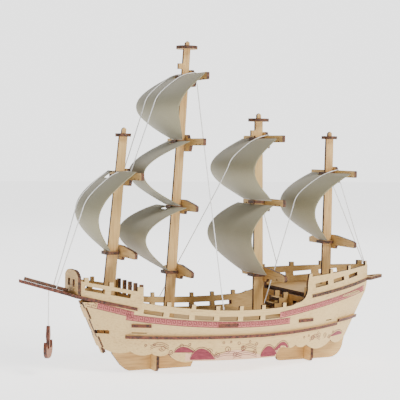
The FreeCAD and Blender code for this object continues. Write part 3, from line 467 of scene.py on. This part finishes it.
class Print:
    """Thin raised strips and patches that lie on the outside of one hull side."""

    def __init__(self, side):
        self.side = side
        self.sign = -1 if side == "port" else 1
        piece = bpy.data.objects[f"hull_side_{side}"]
        self.tree = BVHTree.FromObject(piece, bpy.context.evaluated_depsgraph_get())
        self.vertices, self.faces = [], []

    def on_side(self, x, z):
        """The point on the hull's outside at x and z, or None over a hole or past an edge."""
        start = metres((x, self.sign * OUTSIDE, z))
        hit, normal, _, _ = self.tree.ray_cast(start, Vector((0, -self.sign, 0)))
        if hit is None or abs(normal.y) < LEAST_FACING or hit.y * self.sign < INSIDE * MM:
            return None
        return hit + normal * PROUD

    def patch(self, corners):
        """One face, unless a corner of it misses the wood."""
        places = [self.on_side(x, z) for x, z in corners]
        if None in places:
            return
        first = len(self.vertices)
        self.vertices += places
        order = range(first, first + len(places))
        self.faces.append(tuple(order if self.sign < 0 else reversed(order)))

    def line(self, points, width=0.45, step=2.0):
        """A drawn line of one width, in short lengths that follow the hull."""
        for (x1, z1), (x2, z2) in zip(points, points[1:]):
            length = math.hypot(x2 - x1, z2 - z1)
            if length < 1e-6:
                continue
            along_x, along_z = (x2 - x1) / length * width / 2, (z2 - z1) / length * width / 2
            x1, z1, x2, z2 = x1 - along_x, z1 - along_z, x2 + along_x, z2 + along_z
            count = max(1, round(length / step))
            for index in range(count):
                a, b = index / count, (index + 1) / count
                ax, az = x1 + (x2 - x1) * a, z1 + (z2 - z1) * a
                bx, bz = x1 + (x2 - x1) * b, z1 + (z2 - z1) * b
                self.patch([(ax + along_z, az - along_x), (bx + along_z, bz - along_x),
                            (bx - along_z, bz + along_x), (ax - along_z, az + along_x)])

    def lift(self):
        """Raise what is drawn so far above the ground print."""
        raised = Vector((0, self.sign * LIFT, 0))
        self.vertices = [vertex + raised for vertex in self.vertices]

    def finish(self, name, material):
        """Make what is drawn so far one piece of print."""
        mesh = bpy.data.meshes.new(f"{name}_{self.side}")
        mesh.from_pydata(self.vertices, [], self.faces)
        mesh.materials.append(material)
        piece = add_object(f"{name}_{self.side}", mesh)
        thick = piece.modifiers.new("ink", "SOLIDIFY")
        thick.thickness, thick.offset = INK_THICKNESS * MM, -1
        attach(piece, BODY)


def ink(name, dark, light):
    """Print that the wood's grain shows through as streaks."""
    nodes = Nodes(name, 0.6)
    streaks = nodes.noise(scale=700, stretch=(0.2, 1, 1))
    return nodes.colour(nodes.ramp(streaks, [(0.3, dark), (0.7, light)]))


def fore_band(x):
    """Height of the key band's middle along the forecastle."""
    return 54.5 - 0.252 * (x + 87)


def waist_band(x):
    """The same along the waist, where it sags."""
    return 45.8 + 0.00062 * (x - 15) ** 2


def poop_band(x):
    """The same along the poop, where it climbs."""
    return 53.0 + 0.142 * (x - 47)


BANDS = [(fore_band, -131, -92), (waist_band, -98, 56), (poop_band, 44, 162)]
BAND_HEIGHT, BAND_LINE = 5.4, 0.5
KEY_PITCH, KEY_WIDTH, KEY_HEIGHT = 4.6, 3.9, 3.6
KEY = [(0.0, 0.0), (0.0, 1.0), (0.8, 1.0), (0.8, 0.3), (0.35, 0.3), (0.35, 0.65)]


def key_band(lines, ground, middle, x_from, x_to):
    """A generic key pattern between two lines, on a tinted ground."""
    half = BAND_HEIGHT / 2
    length = x_to - x_from
    steps = round(length / 2)
    for index in range(steps):
        a = x_from + length * index / steps
        b = x_from + length * (index + 1) / steps
        ground.patch([(a, middle(a) - half), (b, middle(b) - half),
                      (b, middle(b) + half), (a, middle(a) + half)])
    count = round(length / 4)
    xs = [x_from + length * index / count for index in range(count + 1)]
    for level in (-half, half):
        lines.line([(x, middle(x) + level) for x in xs], width=BAND_LINE)
    for index in range(int((length - 1) / KEY_PITCH)):
        x = x_from + 1 + index * KEY_PITCH
        lines.line([(x + u * KEY_WIDTH, middle(x + u * KEY_WIDTH) + (v - 0.5) * KEY_HEIGHT)
                    for u, v in KEY], width=BAND_LINE)


def ring(x, z, radius, points=10, turns=1.0, start=0.0, shrink=0.0):
    """Points round a circle, or along a scroll that winds in if it shrinks."""
    loop = []
    for index in range(points + 1):
        reach = radius * (1 - shrink * index / points)
        angle = start + turns * math.tau * index / points
        loop.append((x + reach * math.cos(angle), z + reach * math.sin(angle)))
    return loop


def crest(solid, lines, x, width, foot, height, skew):
    """A filled wave under a line. A skew below 1 moves its top forward, and above 1 aft."""
    steps = 14
    top = []
    for index in range(steps + 1):
        rise = math.sin(math.pi * (index / steps) ** skew) ** 0.8
        top.append((x + width * index / steps, foot + height * rise))
    for (x1, z1), (x2, z2) in zip(top, top[1:]):
        levels = max(1, math.ceil((max(z1, z2) - foot) / 2))
        for level in range(levels):
            low, high = level / levels, (level + 1) / levels
            solid.patch([(x1, foot + (z1 - foot) * low), (x2, foot + (z2 - foot) * low),
                         (x2, foot + (z2 - foot) * high), (x1, foot + (z1 - foot) * high)])
    lines.line([(px, pz + 1.3) for px, pz in top], step=1.5)


# x, z and radius of each scroll and each bubble
SCROLLS = [(-66, 25, 3.0), (-59, 21.5, 2.4), (-25, 21.5, 3.2), (-17, 18.5, 2.8), (-8, 23, 3.6),
           (0, 18, 2.6), (8, 23.5, 3.0), (20, 19, 2.6), (88, 27, 2.8), (96, 29.5, 3.4),
           (105, 28.0, 3.0), (112, 25.5, 2.4)]
BUBBLES = [(-80, 27.5, 0.9), (-73, 28, 0.8), (-50, 27.5, 1.5), (-43, 28.5, 1.0), (-12, 29.5, 1.0),
           (-5, 30, 0.8), (3, 28.5, 1.3), (14, 29.5, 0.9), (21, 27, 1.2), (82, 30, 0.8),
           (76, 29, 0.9), (118, 30, 0.8)]
# start x, lowest z and length of each group of three swelling lines
SWELLS = [(-76, 24, 15), (-20, 14.8, 26), (-2, 14.6, 24), (6, 21, 15), (84, 24, 14)]
SWELL_STEPS, SWELL_RISE = 12, 3.0
# start x, width, foot, height and skew of each filled wave
CRESTS = [(-56, 18, 21, 5.5, 0.8), (-42, 23, 14.2, 10.5, 0.8), (26, 19, 14.2, 10, 0.8),
          (40, 18, 19.5, 7.5, 1.2), (114, 22, 25.2, 4.2, 1.2)]
TINT_FROM, TINT_TO, TINT_STEP = -46, 46, 2
TINT_FOOT = 13.4


def sea(lines, solid, pale):
    """Generic waves along the bottom edge: scrolls, bubbles, swells, filled waves and a tint."""
    for x, z, radius in SCROLLS:
        scroll = ring(x, z, radius, points=14, turns=1.4, start=x, shrink=0.75)
        lines.line(scroll, width=0.42, step=1.2)
    for x, z, radius in BUBBLES:
        lines.line(ring(x, z, radius), width=0.4, step=1.0)
    for x, z, reach in SWELLS:
        for level in (z, z + 1.7, z + 3.4):
            swell = [(x + reach * index / SWELL_STEPS,
                      level + SWELL_RISE * math.sin(math.pi * index / SWELL_STEPS))
                     for index in range(SWELL_STEPS + 1)]
            lines.line(swell, width=0.38, step=1.5)
    for wave in CRESTS:
        crest(solid, lines, *wave)
    for x in range(TINT_FROM, TINT_TO, TINT_STEP):
        height = 6 + 3 * math.cos(x / 9)
        for low, high in ((0, 0.35), (0.35, 0.7), (0.7, 1.0)):
            bottom, top = TINT_FOOT + height * low, TINT_FOOT + height * high
            pale.patch([(x, bottom), (x + TINT_STEP, bottom), (x + TINT_STEP, top), (x, top)])


def print_sides():
    """Key bands and sea on both hull sides, in four inks."""
    line_ink = ink("ink_line", (0.08, 0.003, 0.009), (0.16, 0.012, 0.022))
    solid_ink = ink("ink_solid", (0.15, 0.006, 0.022), (0.26, 0.03, 0.05))
    ground_ink = ink("ink_ground", (0.40, 0.085, 0.08), (0.52, 0.16, 0.135))
    pale_ink = ink("ink_pale", (0.66, 0.38, 0.24), (0.74, 0.47, 0.31))
    for side in ("port", "starboard"):
        lines, solid, ground, pale = (Print(side) for _ in range(4))
        for middle, x_from, x_to in BANDS:
            key_band(lines, ground, middle, x_from, x_to)
        sea(lines, solid, pale)
        lines.lift()
        solid.lift()
        lines.finish("print_lines", line_ink)
        solid.finish("print_crests", solid_ink)
        ground.finish("print_band_ground", ground_ink)
        pale.finish("print_sea_ground", pale_ink)


# ---------------------------------------------------------------- stage and light


FLOOR_REACH, FLOOR_LEVEL = 6.0, -0.0002          # metres
FLOOR_GLOW, AMBIENT, BACKDROP = 2.0, 0.35, 3.2   # strengths


def make_stage():
    nodes = Nodes("pale_floor", 0.9)
    tone = nodes.ramp(nodes.noise(6), [(0.3, (0.90, 0.90, 0.90)), (0.7, (0.93, 0.93, 0.93))])
    nodes.shader.inputs["Emission Color"].default_value = (1, 1, 1, 1)
    nodes.shader.inputs["Emission Strength"].default_value = FLOOR_GLOW
    material = nodes.colour(tone)
    mesh = bpy.data.meshes.new("floor")
    corners = [(-1, -1), (1, -1), (1, 1), (-1, 1)]
    mesh.from_pydata([(x * FLOOR_REACH, y * FLOOR_REACH, FLOOR_LEVEL) for x, y in corners],
                     [], [(0, 1, 2, 3)])
    mesh.materials.append(material)
    add_object("floor", mesh)


def light_world():
    """Soft light from all round, and a brighter plain backdrop where the world itself is seen."""
    world = bpy.data.worlds.new("studio")
    bpy.context.scene.world = world
    world.use_nodes = True
    tree = world.node_tree
    ambient = tree.nodes["Background"]
    ambient.inputs["Color"].default_value = (1.0, 1.0, 1.0, 1)
    ambient.inputs["Strength"].default_value = AMBIENT
    backdrop = tree.nodes.new("ShaderNodeBackground")
    backdrop.inputs["Strength"].default_value = BACKDROP
    seen = tree.nodes.new("ShaderNodeLightPath")
    mix = tree.nodes.new("ShaderNodeMixShader")
    tree.links.new(seen.outputs["Is Camera Ray"], mix.inputs["Fac"])
    tree.links.new(ambient.outputs[0], mix.inputs[1])
    tree.links.new(backdrop.outputs[0], mix.inputs[2])
    tree.links.new(mix.outputs[0], tree.nodes["World Output"].inputs["Surface"])


def area_light(name, place, target, size, power, colour=(1, 1, 1)):
    """A square soft light, in metres and watts."""
    data = bpy.data.lights.new(name, "AREA")
    data.shape, data.size = "SQUARE", size
    data.energy, data.color = power, colour
    light = add_object(name, data)
    light.location = place
    light.rotation_euler = (Vector(target) - Vector(place)).to_track_quat("-Z", "Y").to_euler()


dress_wood()
make_strings()
make_sails()
print_sides()
make_stage()
light_world()
area_light("key_light", place=(0.7, -1.5, 1.5), target=(0, 0, 0.12), size=0.8, power=50,
           colour=(1.0, 0.96, 0.90))
area_light("back_light", place=(0.9, 1.2, 1.2), target=(0, 0, 0.1), size=1.0, power=7)

bpy.context.view_layer.update()
